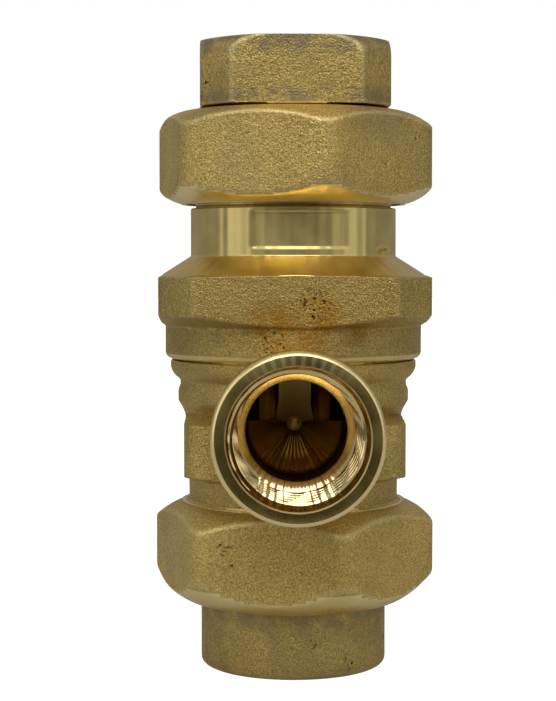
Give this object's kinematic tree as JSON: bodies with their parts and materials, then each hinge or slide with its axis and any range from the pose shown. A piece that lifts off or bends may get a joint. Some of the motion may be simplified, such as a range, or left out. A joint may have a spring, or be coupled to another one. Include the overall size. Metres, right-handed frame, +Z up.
{
  "type": "dual check valve with atmospheric vent",
  "caption": "Brass in-line dual check valve with union ends and a vent boss, sprung rubber-faced checks, and a diaphragm that opens the vent.",
  "frame": {"origin": "on the floor plane of the outlet end, at the middle of the outline seen from above; the flow axis stands 7.6 mm behind it (+Y) because the vent boss reaches forward", "axes": "+Z up the flow axis from the outlet end to the inlet end (flow runs down), the vent boss points to -Y, +X to its right as seen by someone facing the vent"},
  "size_m": [0.0482, 0.0635, 0.108],
  "materials": {
    "cast_brass": "shot-blasted casting and forging skin",
    "machined_brass": "turned, semi-polished",
    "stainless": "drawn and stamped stainless steel",
    "rubber": "moulded black rubber",
    "gasket": "fibre-filled rubber sheet",
    "acetal": "moulded natural acetal"
  },
  "bodies": {
    "valve_body": {"body": "cast_brass", "bonnet": "cast_brass", "inlet_tailpiece": "cast_brass", "outlet_tailpiece": "cast_brass", "slip_ring": "machined_brass", "secondary_seat": "machined_brass", "vent_seat": "stainless", "spring_washer": "stainless", "strainer": "stainless", "inlet_snap_ring": "stainless", "secondary_snap_ring": "stainless", "vent_spring": "stainless", "primary_spring": "stainless", "secondary_spring": "stainless", "diaphragm": "rubber", "bonnet_o_ring": "rubber", "secondary_seat_o_ring": "rubber", "inlet_gasket": "gasket", "outlet_gasket": "gasket", "secondary_cage": "acetal"},
    "inlet_nut_body": {"inlet_nut": "cast_brass"},
    "outlet_nut_body": {"outlet_nut": "cast_brass"},
    "vent_piston_group": {"vent_piston": "machined_brass", "diaphragm_clamp": "machined_brass", "vent_seal": "rubber", "primary_seat": "machined_brass", "primary_guide": "acetal"},
    "primary_poppet": {"primary_disc": "rubber", "primary_disc_holder": "acetal", "primary_screw": "stainless"},
    "secondary_poppet": {"secondary_disc": "rubber", "secondary_disc_holder": "acetal", "secondary_screw": "stainless"}
  },
  "joints": [
    {"name": "inlet_nut_spin", "type": "hinge", "parent": "valve_body", "child": "inlet_nut_body", "pos_m": [0, 0.00761, 0.088], "axis": [0, 0, 1], "continuous": true},
    {"name": "outlet_nut_spin", "type": "hinge", "parent": "valve_body", "child": "outlet_nut_body", "pos_m": [0, 0.00761, 0.02], "axis": [0, 0, 1], "continuous": true},
    {"name": "vent_piston_slide", "type": "slide", "parent": "valve_body", "child": "vent_piston_group", "axis": [0, 0, -1], "range_m": [0, 0.002], "stiffness_N_per_m": 500, "springref_m": -0.006, "deforming": ["vent_spring", "diaphragm"]},
    {"name": "primary_check_slide", "type": "slide", "parent": "vent_piston_group", "child": "primary_poppet", "axis": [0, 0, -1], "range_m": [0, 0.0028], "stiffness_N_per_m": 150, "springref_m": -0.004, "deforming": ["primary_spring"]},
    {"name": "secondary_check_slide", "type": "slide", "parent": "valve_body", "child": "secondary_poppet", "axis": [0, 0, -1], "range_m": [0, 0.003], "stiffness_N_per_m": 150, "springref_m": -0.004, "deforming": ["secondary_spring"]}
  ]
}
